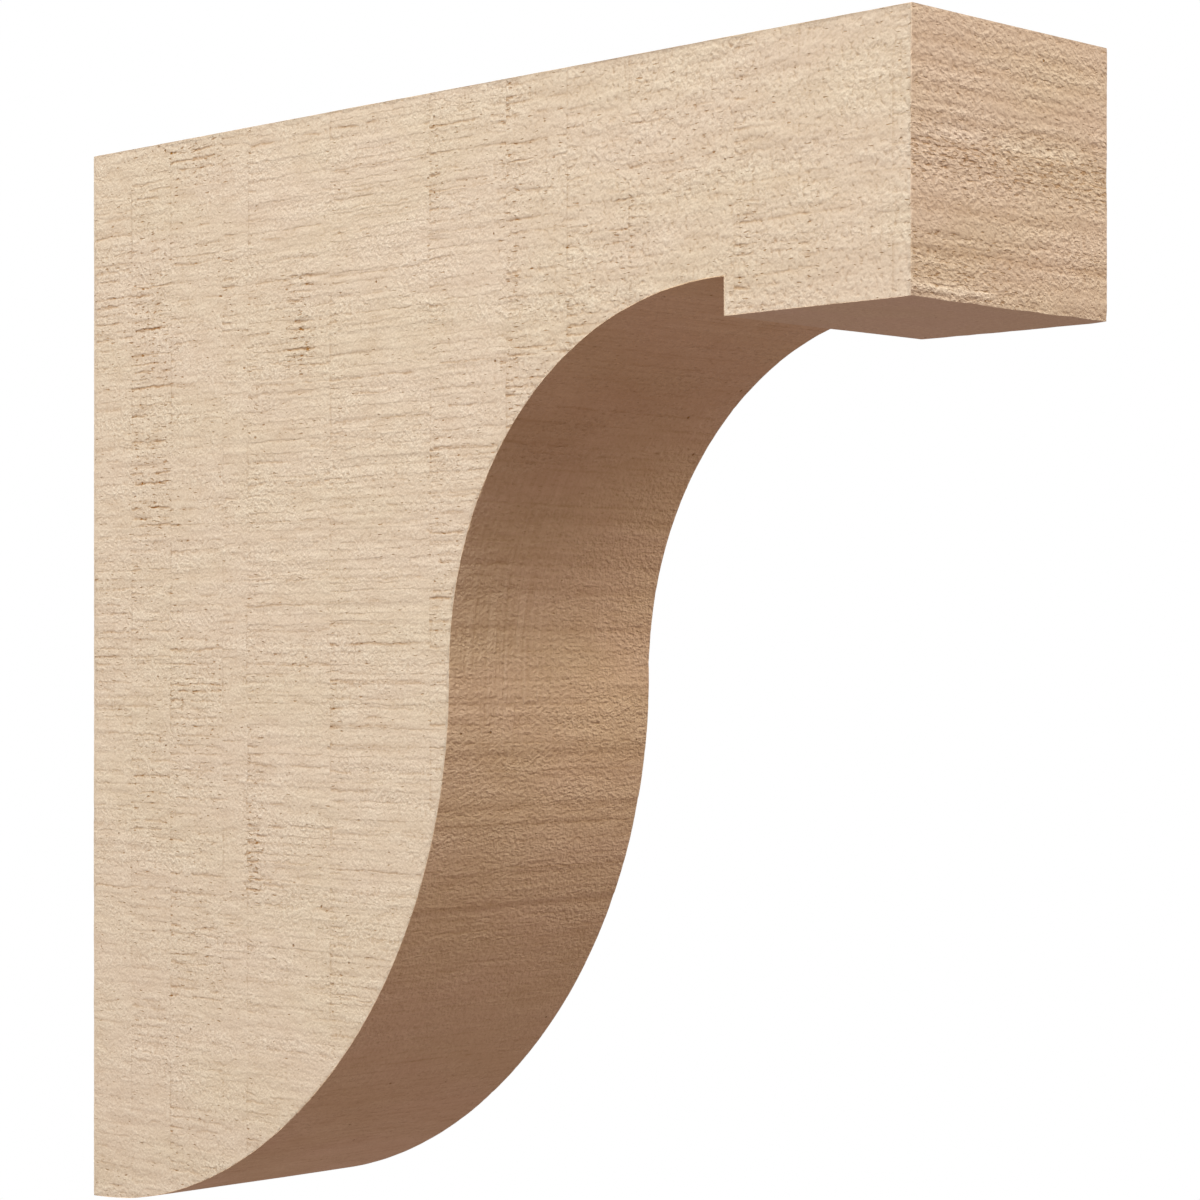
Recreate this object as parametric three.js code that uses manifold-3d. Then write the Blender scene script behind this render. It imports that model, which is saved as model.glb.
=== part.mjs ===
import * as THREE from "three";
import { mergeVertices } from "three/addons/utils/BufferGeometryUtils.js";
import Module from "manifold-3d";

const wasm = await Module();
wasm.setup();

// Overall sizes in millimetres: the wall is the plane y = 0 and the corbel reaches towards -Y
const INCH = 25.4;
const HEIGHT = 16 * INCH;
const DEPTH = 16 * INCH;
const WIDTH = 4 * INCH;
const EDGE_BREAK = 0.8;

// Block under the front end of the arm
const BLOCK_HEIGHT = 3.5 * INCH;
const BLOCK_LENGTH = 3 * INCH;
const BLOCK_STEP = 0.5 * INCH;

// S-curve: a belly rises from the foot of the wall, turns upright and hollows out into the arm
const TURN_REACH = 8 * INCH;
const TURN_HEIGHT = 8 * INCH;
const BELLY_FOOT_PULL = 0.492;
const BELLY_TURN_PULL = 0.573;
const COVE_TURN_PULL = 0.564;
const COVE_TOP_PULL = 0.575;
const CURVE_SEGMENTS = 36;

// Torn grain on the two sides: nicks that start on upright saw lines and run forwards
const SAW_PITCH = 46.5;
const SAW_LINES = 8;
const TEARS_PER_LINE = 5;
const TEAR_LENGTH = [8, 22];
const TEAR_WIDTH = [1.2, 2.4];
const TEAR_DEPTH = [0.5, 1.0];
const EDGE_MARGIN = 7;

// Patches where the saw pulled the grain: reach of the line, span of heights, tears and their lengths
const TORN_PATCHES = [
  { reach: 24, heights: [262, 374], tears: 14, lengths: [10, 24] },
  { reach: 93, heights: [125, 180], tears: 8, lengths: [4, 9] },
  { reach: 117, heights: [315, 350], tears: 6, lengths: [6, 14] },
  { reach: 231, heights: [315, 385], tears: 9, lengths: [3, 8] },
  { reach: 280, heights: [335, 372], tears: 6, lengths: [4, 10] },
  { reach: 335, heights: [325, 395], tears: 9, lengths: [3, 8] },
];

// Torn grain on the end of the arm, and long shakes across the S-curve
const FRONT_TEARS = 16;
const SHAKES = 14;
const SHAKE_LENGTH = [24, 62];
const SHAKE_WIDTH = 1.6;
const SHAKE_DEPTH = 0.7;

// Even scatter: fractions between 0 and 1 along three independent directions
const SCATTER_STEPS = [0.8191725134, 0.6710436067, 0.5497004779];

function scatter(count, direction) {
  const value = (count + 1) * SCATTER_STEPS[direction];
  return value - Math.floor(value);
}

function between(range, fraction) {
  return range[0] + (range[1] - range[0]) * fraction;
}

// Outline seen from the side: reach from the wall to the right, height from the foot upwards
function sideOutline() {
  const coveReach = DEPTH - BLOCK_LENGTH;
  const soffit = HEIGHT - BLOCK_HEIGHT;
  const coveTop = soffit + BLOCK_STEP;
  const shape = new THREE.Shape();
  shape.moveTo(0, 0);
  shape.bezierCurveTo(
    BELLY_FOOT_PULL * TURN_REACH, 0,
    TURN_REACH, TURN_HEIGHT * (1 - BELLY_TURN_PULL),
    TURN_REACH, TURN_HEIGHT,
  );
  shape.bezierCurveTo(
    TURN_REACH, TURN_HEIGHT + COVE_TURN_PULL * (coveTop - TURN_HEIGHT),
    coveReach - COVE_TOP_PULL * (coveReach - TURN_REACH), coveTop,
    coveReach, coveTop,
  );
  shape.lineTo(coveReach, soffit);
  shape.lineTo(DEPTH, soffit);
  shape.lineTo(DEPTH, HEIGHT);
  shape.lineTo(0, HEIGHT);
  return shape;
}

// Turns reach, height and width into the corbel's own directions
const TO_CORBEL = new THREE.Matrix4().makeBasis(
  new THREE.Vector3(0, -1, 0),
  new THREE.Vector3(0, 0, 1),
  new THREE.Vector3(-1, 0, 0),
).setPosition(0, 0, -HEIGHT / 2);

// Solid of a closed geometry, ready for cutting
function solidOf(geometry) {
  const bare = geometry.clone();
  bare.deleteAttribute("normal");
  bare.deleteAttribute("uv");
  const merged = mergeVertices(bare, 1e-4);
  const mesh = new wasm.Mesh({
    numProp: 3,
    vertProperties: merged.attributes.position.array,
    triVerts: new Uint32Array(merged.index.array),
  });
  return new wasm.Manifold(mesh);
}

// Geometry of a cut solid
function geometryOf(solid) {
  const mesh = solid.getMesh();
  const geometry = new THREE.BufferGeometry();
  geometry.setAttribute("position", new THREE.BufferAttribute(mesh.vertProperties, 3));
  geometry.setIndex(new THREE.BufferAttribute(mesh.triVerts, 1));
  geometry.computeVertexNormals();
  return geometry;
}

// Sawn blank: the outline carried through the width, its long edges broken
function blank() {
  const depth = WIDTH - 2 * EDGE_BREAK;
  const geometry = new THREE.ExtrudeGeometry(sideOutline(), {
    depth,
    curveSegments: CURVE_SEGMENTS,
    bevelEnabled: true,
    bevelThickness: EDGE_BREAK,
    bevelSize: EDGE_BREAK,
    bevelOffset: -EDGE_BREAK,
    bevelSegments: 1,
  });
  geometry.translate(0, 0, -depth / 2);
  return geometry.applyMatrix4(TO_CORBEL);
}

// Tear: a long thin diamond, deepest in the middle, along one direction of a face
function tear(length, width, depth, along, normal, place) {
  const across = new THREE.Vector3().crossVectors(normal, along);
  const frame = new THREE.Matrix4().makeBasis(along, across, normal).setPosition(place);
  const geometry = new THREE.OctahedronGeometry(1);
  geometry.scale(length / 2, width / 2, depth);
  return geometry.applyMatrix4(frame);
}

// Height of the underside at a reach from the wall
function undersideAt(reach, points) {
  const after = points.findIndex((point) => point.x > reach);
  const a = points[Math.max(after - 1, 0)];
  const b = points[after];
  return a.y + (b.y - a.y) * (reach - a.x) / (b.x - a.x);
}

// Every group of tears on a side: the torn patches first, then the plain saw lines
function tearGroups() {
  const points = sideOutline().getPoints(CURVE_SEGMENTS);
  const groups = [...TORN_PATCHES];
  for (let line = 1; line <= SAW_LINES; line += 1) {
    const reach = line * SAW_PITCH;
    const low = undersideAt(reach + TEAR_LENGTH[1], points) + EDGE_MARGIN;
    const heights = [low, HEIGHT - EDGE_MARGIN];
    groups.push({ reach, heights, tears: TEARS_PER_LINE, lengths: TEAR_LENGTH });
  }
  return groups;
}

// Tears on both sides, each running forwards along the grain from its saw line
function sideTears() {
  const along = new THREE.Vector3(0, -1, 0);
  const cutters = [];
  let count = 0;
  for (const side of [-1, 1]) {
    const normal = new THREE.Vector3(side, 0, 0);
    for (const group of tearGroups()) {
      for (let i = 0; i < group.tears; i += 1) {
        const length = between(group.lengths, scatter(count, 1));
        const width = between(TEAR_WIDTH, scatter(count, 2));
        const depth = between(TEAR_DEPTH, scatter(count, 2));
        const height = between(group.heights, scatter(count, 0));
        const reach = group.reach + length / 2;
        const place = new THREE.Vector3(side * WIDTH / 2, -reach, height - HEIGHT / 2);
        cutters.push(tear(length, width, depth, along, normal, place));
        count += 1;
      }
    }
  }
  return cutters;
}

// Tears on the end of the arm, running across the width
function frontTears() {
  const along = new THREE.Vector3(1, 0, 0);
  const normal = new THREE.Vector3(0, -1, 0);
  const cutters = [];
  for (let i = 0; i < FRONT_TEARS; i += 1) {
    const length = between(TEAR_LENGTH, scatter(i, 2));
    const width = between(TEAR_WIDTH, scatter(i, 2));
    const depth = between(TEAR_DEPTH, scatter(i, 2));
    const span = WIDTH / 2 - EDGE_MARGIN - length / 2;
    const x = between([-span, span], scatter(i, 1));
    const drop = between([EDGE_MARGIN, BLOCK_HEIGHT - EDGE_MARGIN], scatter(i, 0));
    const place = new THREE.Vector3(x, -DEPTH, HEIGHT / 2 - drop);
    cutters.push(tear(length, width, depth, along, normal, place));
  }
  return cutters;
}

// Shakes: long cracks across the S-curve, at even steps from the foot to the arm
function curveShakes() {
  const [belly, cove] = sideOutline().curves;
  const along = new THREE.Vector3(1, 0, 0);
  const cutters = [];
  for (let i = 0; i < SHAKES; i += 1) {
    const run = 2 * (i + 0.5 + 0.5 * scatter(i, 1)) / (SHAKES + 0.5);
    const curve = run < 1 ? belly : cove;
    const point = curve.getPointAt(run % 1);
    const tangent = curve.getTangentAt(run % 1);
    const length = between(SHAKE_LENGTH, scatter(i, 2));
    const span = WIDTH / 2 - EDGE_MARGIN - length / 2;
    const x = between([-span, span], scatter(i, 0));
    const normal = new THREE.Vector3(0, -tangent.y, -tangent.x);
    const place = new THREE.Vector3(x, -point.x, point.y - HEIGHT / 2);
    cutters.push(tear(length, SHAKE_WIDTH, SHAKE_DEPTH, along, normal, place));
  }
  return cutters;
}

// Casting: the sawn blank with all its tears and shakes cut in
function corbel() {
  let solid = solidOf(blank());
  for (const cutter of [...sideTears(), ...frontTears(), ...curveShakes()]) {
    solid = solid.subtract(solidOf(cutter));
  }
  return geometryOf(solid);
}

const primer = new THREE.MeshStandardMaterial({ color: 0xd4bca2, roughness: 0.85, metalness: 0 });
const piece = new THREE.Mesh(corbel(), primer);
piece.name = "corbel";

const group = new THREE.Group();
group.add(piece);
export default group;
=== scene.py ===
# %% [markdown]
# # A rough-sawn corbel
# A corbel is a bracket that is fixed to a wall to carry a beam, a shelf or an eave. This one is a
# single casting in rigid foam. Its mould was taken from a bracket sawn out of timber, so saw
# lines, torn fibres and cracks are cast into it, and a tan primer covers the whole.
# Its skin could be sculpted by hand. Here it is worked out with arrays of numbers, so that it fits the
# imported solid, which has the outline and the deepest tears, and so that every mark can be moved.

# %% Load the solid as a fixed frame
import math

import bmesh
import bpy
import numpy as np
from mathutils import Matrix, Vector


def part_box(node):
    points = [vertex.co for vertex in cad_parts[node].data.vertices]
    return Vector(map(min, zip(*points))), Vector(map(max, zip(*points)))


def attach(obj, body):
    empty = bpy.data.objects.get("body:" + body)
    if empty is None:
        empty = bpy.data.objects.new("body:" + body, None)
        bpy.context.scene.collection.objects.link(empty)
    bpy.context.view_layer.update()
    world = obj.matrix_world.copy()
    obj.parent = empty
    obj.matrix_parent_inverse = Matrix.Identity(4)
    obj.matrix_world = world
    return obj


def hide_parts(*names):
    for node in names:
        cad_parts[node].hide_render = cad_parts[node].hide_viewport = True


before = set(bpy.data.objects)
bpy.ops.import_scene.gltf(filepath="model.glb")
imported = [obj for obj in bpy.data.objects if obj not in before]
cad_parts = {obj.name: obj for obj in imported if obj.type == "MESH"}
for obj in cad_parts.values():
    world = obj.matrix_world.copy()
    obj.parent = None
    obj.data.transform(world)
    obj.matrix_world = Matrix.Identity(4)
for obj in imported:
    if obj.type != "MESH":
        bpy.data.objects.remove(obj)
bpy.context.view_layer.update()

low, high = (np.array(corner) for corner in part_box("corbel"))
WIDTH, DEPTH, HEIGHT = high - low
MM = 0.001
INCH = HEIGHT / 16
print(f"solid: {WIDTH / MM:.1f} wide, {DEPTH / MM:.1f} deep, {HEIGHT / MM:.1f} mm high")

# %% [markdown]
# ## The camera
# Upright edges stay parallel in the photograph, so its camera is level. The edges of the side and
# of the front shrink at the same rate, so it is turned 45 degrees to the wall. A camera could be moved
# by eye until the picture fits, but then two errors can hide each other. So it is worked out: the near
# front edge gives the distance, as a share of the height. The bracket isn't in the middle of the
# frame, and a lens shift gives that without tilting the camera.

# %% Place the camera
FRAME_PIXELS = 1200
FOCAL_PIXELS = 3202.8
AXIS_PIXEL = (549.2, 675.9)
SENSOR_MM = 36
YAW = math.radians(-45)
EDGE_AHEAD = 2.3737 * HEIGHT
EDGE_ASIDE = 0.2682 * HEIGHT

ahead = np.array([-math.sin(YAW), math.cos(YAW), 0])
aside = np.array([math.cos(YAW), math.sin(YAW), 0])
near_edge = np.array([low[0], low[1], (low[2] + high[2]) / 2])
lens = bpy.data.cameras.new("camera")
lens.sensor_width = SENSOR_MM
lens.lens = FOCAL_PIXELS * SENSOR_MM / FRAME_PIXELS
lens.shift_x = 0.5 - AXIS_PIXEL[0] / FRAME_PIXELS
lens.shift_y = AXIS_PIXEL[1] / FRAME_PIXELS - 0.5
camera = bpy.data.objects.new("camera", lens)
camera.location = near_edge - ahead * EDGE_AHEAD - aside * EDGE_ASIDE
camera.rotation_euler = (math.pi / 2, 0, YAW)
bpy.context.scene.collection.objects.link(camera)
bpy.context.scene.camera = camera
print(f"camera: {lens.lens:.1f} mm lens at {[round(x, 3) for x in camera.location]}")

# %% [markdown]
# ## The outline
# Seen from the side, a belly rises from the foot of the wall, turns upright at half height and
# hollows out into the arm. A drawing office would set this out with two arcs, but the real curve
# is a little fuller than arcs, so each half is a cubic curve with its own pulls. Positions are
# given as reach from the wall and height from the foot, which keeps the sums flat.

# %% Draw the S-curve
BLOCK_HEIGHT = 3.5 * INCH
BLOCK_LENGTH = 3 * INCH
BLOCK_STEP = 0.5 * INCH
TURN = 8 * INCH
BELLY_FOOT_PULL, BELLY_TURN_PULL = 0.492, 0.573
COVE_TURN_PULL, COVE_TOP_PULL = 0.564, 0.575
CURVE_SAMPLES = 2000

cove_reach = DEPTH - BLOCK_LENGTH
soffit = HEIGHT - BLOCK_HEIGHT
cove_top = soffit + BLOCK_STEP


def cubic(*points):
    """Cubic curve: its four points weighted by (1-t)^3, 3t(1-t)^2, 3t^2(1-t) and t^3."""
    t = np.linspace(0, 1, CURVE_SAMPLES)[:, None]
    weights = ((1 - t) ** 3, 3 * t * (1 - t) ** 2, 3 * t ** 2 * (1 - t), t ** 3)
    return sum(weight * np.array(point) for weight, point in zip(weights, points))


belly = cubic(
    (0, 0),
    (BELLY_FOOT_PULL * TURN, 0),
    (TURN, TURN * (1 - BELLY_TURN_PULL)),
    (TURN, TURN),
)
cove = cubic(
    (TURN, TURN),
    (TURN, TURN + COVE_TURN_PULL * (cove_top - TURN)),
    (cove_reach - COVE_TOP_PULL * (cove_reach - TURN), cove_top),
    (cove_reach, cove_top),
)


def length_of(points):
    """Running length along points: the sum of the straight steps so far."""
    steps = np.hypot(*np.diff(points, axis=0).T)
    return np.concatenate([[0], np.cumsum(steps)])


belly_length, cove_length = length_of(belly)[-1], length_of(cove)[-1]
print(f"S-curve: belly {belly_length / MM:.0f} mm and cove {cove_length / MM:.0f} mm long")

# %% [markdown]
# ## Rows along the grain
# Sawn grain runs in long level lines. An even grid of small squares could show them, but would spend
# most of its triangles along the grain, where little changes. So the mesh gets narrow rows across the
# grain and long cells along it: one row of vertices is then one crisp line of grain. Rows are spread
# along the S-curve by a stretched length, in which a rise counts more than a run. So they stay close
# where the curve is upright, and open out where it lies level and they would otherwise bunch up.

# %% Spread the rows
ROW = 1.1 * MM
RUN = 5 * MM
EDGE = 0.5 * MM
EDGE_CELL, EDGE_SHARE = 1.2 * MM, 0.1
BODY_CELLS, BLOCK_CELLS, BELT_CELLS = 72, 18, 30
ARM_ROWS = round((HEIGHT - cove_top) / ROW)
LIP_ROWS = round(BLOCK_STEP / ROW)


def even_rows(points):
    """Points and outward normals at equal stretched length: the root of (run/RUN)^2 + (rise/ROW)^2."""
    stretched = length_of(points / (RUN, ROW))
    at = np.linspace(0, stretched[-1], math.ceil(stretched[-1]) + 1)
    along, up = np.gradient(points, axis=0).T
    normals = np.stack([up, -along], axis=1) / np.hypot(along, up)[:, None]
    columns = np.concatenate([points, normals], axis=1).T
    found = np.stack([np.interp(at, stretched, column) for column in columns], axis=1)
    return found[:, :2], found[:, 2:]


def spaced(start, end, cells):
    """Places along each row: a narrow cell at either end, and equal cells between."""
    length = np.atleast_1d(end - start)[:, None]
    margin = np.minimum(EDGE_CELL, EDGE_SHARE * length)
    middle = margin + (length - 2 * margin) * np.linspace(0, 1, cells - 1)
    return start + np.concatenate([0 * length, middle, length], axis=1)


curve_rows, curve_normals = even_rows(np.concatenate([belly, cove[1:]]))
curve_rim = curve_rows - EDGE * curve_normals
curve_rim[:, 0] = np.maximum(curve_rim[:, 0], EDGE)
curve_rim[0] = EDGE
curve_rim[-1] = cove_reach + EDGE, cove_top + EDGE
arm_heights = np.linspace(cove_top + EDGE, HEIGHT - EDGE, ARM_ROWS + 1)
lip_heights = np.linspace(soffit + EDGE, cove_top + EDGE, LIP_ROWS + 1)
print(f"rows: {len(curve_rows)} on the S-curve, {ARM_ROWS} on the arm, {LIP_ROWS} on the step")

# %% [markdown]
# ## Two sheets for a side
# A side is flat but for its relief. One face with many corners could fill its outline, but it has no
# vertices inside to push in. So a side is a body sheet, whose rows run from the wall to the S-curve and
# go on up through the arm, and a block sheet in front of it. Both stop one edge radius inside the
# outline, which leaves room for a worn edge. The weld at the end closes the line where they meet.

# %% Lay out the side sheets
body_heights = np.concatenate([curve_rim[:, 1], arm_heights[1:]])
body_ends = np.concatenate([curve_rim[:, 0], np.full(ARM_ROWS, cove_reach + EDGE)])
body_reach = spaced(EDGE, body_ends, BODY_CELLS)
body_height = np.broadcast_to(body_heights[:, None], body_reach.shape)
block_heights = np.concatenate([lip_heights, arm_heights[1:]])
block_ends = np.full(len(block_heights), DEPTH - EDGE)
block_reach = spaced(cove_reach + EDGE, block_ends, BLOCK_CELLS)
block_height = np.broadcast_to(block_heights[:, None], block_reach.shape)
sheets = [(body_reach, body_height), (block_reach, block_height)]


def rim(body, block):
    """Values of the two sheets along their rim: S-curve, step, soffit, front, top, back, to the foot."""
    return np.concatenate([
        body[:len(curve_rows), -1],
        block[LIP_ROWS - 1::-1, 0],
        block[0, 1:],
        block[1:, -1],
        block[-1, -2::-1],
        body[-1, -2::-1],
        body[-2::-1, 0],
    ])


inner = np.stack([rim(*values) for values in zip(*sheets)], axis=1)
print(f"side: body sheet {body_reach.shape}, block sheet {block_reach.shape}, rim {len(inner)}")

# %% [markdown]
# ## The belt
# Everything between the two sides is one belt: the outline swept across the width. Blender can sweep a
# curve by itself, but the rows of that sweep wouldn't meet the rows of the sides. So the belt takes the
# rows of the sides' rim and pushes them out by the edge radius. Each face of the belt has its own
# normal, and a corner takes the normal half way between its faces.

# %% Push the rim out to the outline
CURVE, STEP, SOFFIT, FRONT, TOP, BACK = range(6)
face_rows = [
    len(curve_rows), LIP_ROWS, BLOCK_CELLS, LIP_ROWS + ARM_ROWS,
    BLOCK_CELLS + BODY_CELLS, len(body_heights) - 1,
]
face = np.repeat(np.arange(len(face_rows)), face_rows)
last_row = np.cumsum(face_rows) - 1
face_normals = np.array([(0, -1), (-1, 0), (0, -1), (1, 0), (0, 1), (-1, 0)], float)
level = {STEP: (0, cove_reach), SOFFIT: (1, soffit), FRONT: (0, DEPTH), TOP: (1, HEIGHT), BACK: (0, 0)}

outer = inner.copy()
outer[face == CURVE] = curve_rows
for part, (axis, value) in level.items():
    outer[face == part, axis] = value
corner_places = [(cove_reach, soffit), (DEPTH, soffit), (DEPTH, HEIGHT), (0, HEIGHT), (0, 0)]
outer[last_row[1:]] = corner_places

normal = face_normals[face]
normal[face == CURVE] = curve_normals
normal[last_row[:-1]] = face_normals[:-1] + face_normals[1:]
normal[[0, -1]] = face_normals[CURVE] + face_normals[BACK]
normal /= np.linalg.norm(normal, axis=1)[:, None]
run = length_of(outer)
across = spaced(-(WIDTH / 2 - EDGE), WIDTH / 2 - EDGE, BELT_CELLS)[0]
print(f"belt: {len(outer)} rows of {len(across)} vertices, {run[-1] / MM:.0f} mm round")

# %% [markdown]
# ## Where the grain tore
# The saw left upright lines about every 46 mm, and fibres tore out from them along the grain, most
# of all in a few patches. Chance could place the tears, but the solid has its deepest tears cut by an
# even scatter. So the same scatter is repeated here, and the skin's tears sit in the solid's. Over the
# block the fibres were pulled into lumps rather than lines, so the tears there are shallower.

# %% Write the scatter and the ramps
SCATTER_STEPS = (0.8191725134, 0.6710436067, 0.5497004779)


def scatter(count, direction):
    """Even scatter: the fraction left when count + 1 steps of one direction are added up."""
    return (np.asarray(count) + 1) * SCATTER_STEPS[direction] % 1


def between(limits, fraction):
    """A value that share of the way from the first limit to the second."""
    return limits[0] + (limits[1] - limits[0]) * fraction


def ease(value, limits):
    """Smooth step: 0 before the first limit, 1 after the second, 3t^2 - 2t^3 between."""
    t = np.clip((value - limits[0]) / (limits[1] - limits[0]), 0, 1)
    return t * t * (3 - 2 * t)


print("first places of the scatter:", scatter(range(3), 0).round(3))

# %% Scatter the tears
SAW_PITCH = 46.5 * MM
SAW_LINES = 8
TEARS_PER_LINE = 5
TEAR_LENGTH = (8 * MM, 22 * MM)
TEAR_DEPTH = (0.5 * MM, 1.0 * MM)
PATCH_SHARE, PLAIN_SHARE, BLOCK_SOFT = 0.6, 0.35, 0.35
LUMP_REACH, LUMP_HEIGHT = (190 * MM, 290 * MM), (250 * MM, 320 * MM)
EDGE_MARGIN = 7 * MM
TORN_PATCHES = (
    (24 * MM, (262 * MM, 374 * MM), 14, (10 * MM, 24 * MM)),
    (93 * MM, (125 * MM, 180 * MM), 8, (4 * MM, 9 * MM)),
    (117 * MM, (315 * MM, 350 * MM), 6, (6 * MM, 14 * MM)),
    (231 * MM, (315 * MM, 385 * MM), 9, (3 * MM, 8 * MM)),
    (280 * MM, (335 * MM, 372 * MM), 6, (4 * MM, 10 * MM)),
    (335 * MM, (325 * MM, 395 * MM), 9, (3 * MM, 8 * MM)),
)


def lumpiness(reach, height):
    """How far the fibres are pulled into lumps: nothing low down and by the wall, all over the block."""
    return ease(reach, LUMP_REACH) * ease(height, LUMP_HEIGHT)


def softened(start, heights):
    """Share of a group's depth that is left: less where the fibres are lumpy."""
    return 1 - BLOCK_SOFT * lumpiness(start, np.mean(heights))


def tear_groups():
    """Torn patches and plain saw lines: reach, span of heights, number of tears and lengths."""
    lines = SAW_PITCH * np.arange(1, SAW_LINES + 1)
    under = np.concatenate([belly, cove[1:], [(DEPTH, soffit)]])
    feet = np.interp(lines + TEAR_LENGTH[1], under[:, 0], under[:, 1]) + EDGE_MARGIN
    plain = [(at, (foot, HEIGHT - EDGE_MARGIN), TEARS_PER_LINE, TEAR_LENGTH)
             for at, foot in zip(lines, feet)]
    return list(TORN_PATCHES) + plain


def side_tears(first):
    """Tears of one side as rows of start, place across the grain, length and depth."""
    found = []
    for group, (start, heights, tears, lengths) in enumerate(tear_groups()):
        count = first + np.arange(tears)
        first += tears
        places = between(heights, scatter(count, 0))
        long = between(lengths, scatter(count, 1))
        share = PATCH_SHARE if group < len(TORN_PATCHES) else PLAIN_SHARE
        deep = share * softened(start, heights) * between(TEAR_DEPTH, scatter(count, 2))
        found.append(np.stack([np.full(tears, start), places, long, deep], axis=1))
    return np.concatenate(found)


tears_a_side = sum(group[2] for group in tear_groups())
print(f"tears: {tears_a_side} on each side in {len(tear_groups())} groups")

# %% [markdown]
# ## Panels between saw strokes
# Each stroke of the saw left a panel of its own, and the strokes were uneven. In some panels the
# fibres were torn, in others the blade left long clean grain lines. Chance could vary the panels, but
# it wouldn't put the torn ones where they are. So a short table gives, for every panel of a side, where
# it starts, how torn it is and how strong its grain lines are.

# %% Set out the panels and their grain lines
PANELS = (
    (0, 0.35, 0.60), (24, 0.36, 0.60), (48, 0.58, 0.50), (80, 0.15, 0.45), (93, 0.30, 0.90),
    (140, 0.22, 1.00), (193, 0.25, 0.85), (231, 0.45, 0.50), (260, 0.30, 0.45), (288, 0.28, 0.50),
    (335, 0.40, 0.40), (361, 0.28, 0.50), (399, 0.28, 0.40), (430, 0.28, 0.40),
)
GRAIN_PITCH = 8.2 * MM
GRAIN_DEPTH = (0.05 * MM, 0.26 * MM)
GRAIN_SHARE = (0.45, 1.05)
GRAIN_START, GRAIN_SHIFT = (-1 * MM, 2 * MM), (-0.4, 0.4)

panel_start, panel_torn, panel_lined = np.array(PANELS).T * [[MM], [1], [1]]


def panel_at(reach):
    """Number of the panel, plus the share of that panel already passed."""
    return np.interp(reach, panel_start, np.arange(len(PANELS)))


def grain_lines(seed):
    """Lines in every panel: one each pitch, moved a little, of chance length and depth."""
    chance = np.random.default_rng(seed)
    panel, line = np.meshgrid(np.arange(len(PANELS) - 1), np.arange(int(HEIGHT / GRAIN_PITCH)))
    panel, line = panel.ravel(), line.ravel()
    start = panel_start[panel] + chance.uniform(*GRAIN_START, len(panel))
    place = (line + 0.5 + chance.uniform(*GRAIN_SHIFT, len(panel))) * GRAIN_PITCH
    long = np.diff(panel_start)[panel] * chance.uniform(*GRAIN_SHARE, len(panel))
    deep = panel_lined[panel] * chance.uniform(*GRAIN_DEPTH, len(panel))
    return np.stack([start, place, long, deep], axis=1)


print(f"grain: {len(grain_lines(0))} lines in {len(PANELS) - 1} panels of each side")

# %% [markdown]
# ## Relief as a height field
# Relief is a depth below the sawn surface at every vertex: waves from the casting, ridges along the
# grain, tears. A Displace modifier could push the vertices in, but with plain arrays each mark has a
# known place and depth, which can be printed. Noise comes from random heights on a lattice, blended
# smoothly in between, and is stretched by giving the lattice long cells. A tear is a V across the
# grain that fades out at both of its ends.

# %% Make the noise and cut the tears
LATTICE = 256
TEAR_SPREAD, TEAR_ROWS = 1.05 * ROW, 3 * ROW
TEAR_BLUNT = 0.4
WANDER = 0.9 * MM
WANDER_CELL, WANDER_RISE = 11 * MM, 44 * MM


def noise(u, v, seed):
    """Lattice noise from 0 to 1: four random corners mixed by 3t^2 - 2t^3 in both directions."""
    table = np.random.default_rng(seed).random((LATTICE, LATTICE))
    i, j = np.floor(u).astype(int), np.floor(v).astype(int)
    a, b = u - i, v - j
    a, b = a * a * (3 - 2 * a), b * b * (3 - 2 * b)
    i, j, k, m = i % LATTICE, j % LATTICE, (i + 1) % LATTICE, (j + 1) % LATTICE
    before = table[i, j] * (1 - a) + table[k, j] * a
    after = table[i, m] * (1 - a) + table[k, m] * a
    return before * (1 - b) + after * b


def bell(value, middle, width):
    """Soft band: exp(-((value - middle) / width)^2)."""
    return np.exp(-((value - middle) / width) ** 2)


def cut(u, v, tears, seed):
    """Depth of the deepest tear: a V across, and along it (4 t (1 - t))^TEAR_BLUNT, at most 1."""
    depth = np.zeros(u.shape)
    rows = v[:, 0]
    wander = WANDER * (noise(u / WANDER_CELL, v / WANDER_RISE, seed) - 0.5)
    for start, place, long, deep in tears:
        near = slice(*np.searchsorted(rows, (place - TEAR_ROWS, place + TEAR_ROWS)))
        t = np.clip((u[near] - start) / long, 0, 1)
        side = np.clip(1 - np.abs(v[near] + wander[near] - place) / TEAR_SPREAD, 0, 1)
        depth[near] = np.maximum(depth[near], deep * side * (4 * t * (1 - t)) ** TEAR_BLUNT)
    return depth


sample = cut(body_reach, body_height, side_tears(0), 0)
print(f"tears reach {sample.max() / MM:.2f} mm deep at the vertices of the body sheet")

# %% [markdown]
# ## Relief of the sides
# Each panel between two saw lines lies at its own level, as a blade leaves it, and the strip in
# front of an inner saw line is ragged, because the blade caught there. Over the block the fibres
# were pulled into lumps. One noise could stand for all of this, but each of these has its own size and
# direction, so each is made alone and the depths are added. The lumps are noise bent by other noise.

# %% Give the sides their relief
PANEL_STEP = 0.16 * MM
WAVE, WAVE_CELL = 0.30 * MM, (75 * MM, 48 * MM)
RIDGE, RIDGE_CELL, RIDGE_LOSS = 0.14 * MM, (24 * MM, 3.4 * MM), 0.6
LUMP, LUMP_CELL = 0.38 * MM, (9 * MM, 4.2 * MM)
BEND_CELL = (20 * MM, 14 * MM)
RAG, RAG_CELL, RAG_PLAIN = 0.40 * MM, 5 * MM, 0.25
SAW_WIDTH = 7 * MM
SAW_SHIFT = 5.3


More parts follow.
